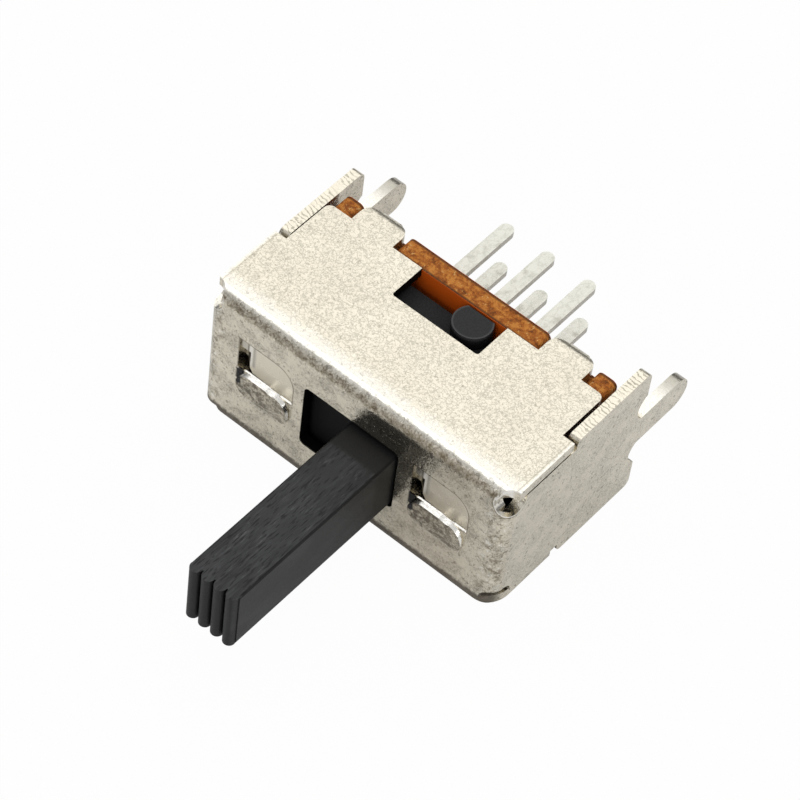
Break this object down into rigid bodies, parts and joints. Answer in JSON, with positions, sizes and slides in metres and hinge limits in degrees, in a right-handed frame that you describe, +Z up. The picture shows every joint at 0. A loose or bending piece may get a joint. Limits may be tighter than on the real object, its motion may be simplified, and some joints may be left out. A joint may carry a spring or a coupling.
{
  "type": "slide switch",
  "caption": "Through-hole slide switch in a folded steel housing with a long side lever, contact pins and mounting legs.",
  "frame": {"origin": "middle of the pin pattern, on the plane where the rear edges of the end plates meet the circuit board", "axes": "+X along the housing, the way the lever slides; +Y out of the back along the pins, into the circuit board; +Z up, towards the wall that is uppermost in the picture"},
  "size_m": [0.0142, 0.0205, 0.007],
  "materials": {
    "plated_steel": "nickel-plated sheet with an orange-peel grain",
    "phenolic": "phenolic paper laminate, sheared edges",
    "black_plastic": "moulded, fine lengthwise texture",
    "spring_bronze": "bare spring strip",
    "plated_brass": "tin or silver plated"
  },
  "bodies": {
    "base": {"housing": "plated_steel", "terminal_board": "phenolic", "terminal_1": "plated_brass", "terminal_2": "plated_brass", "terminal_3": "plated_brass", "terminal_4": "plated_brass", "terminal_5": "plated_brass", "terminal_6": "plated_brass"},
    "slider": {"slider": "black_plastic", "clip_upper": "spring_bronze", "clip_lower": "spring_bronze"}
  },
  "joints": [
    {"name": "slide", "type": "slide", "parent": "base", "child": "slider", "axis": [1, 0, 0], "range_m": [-0.002, 0]}
  ]
}
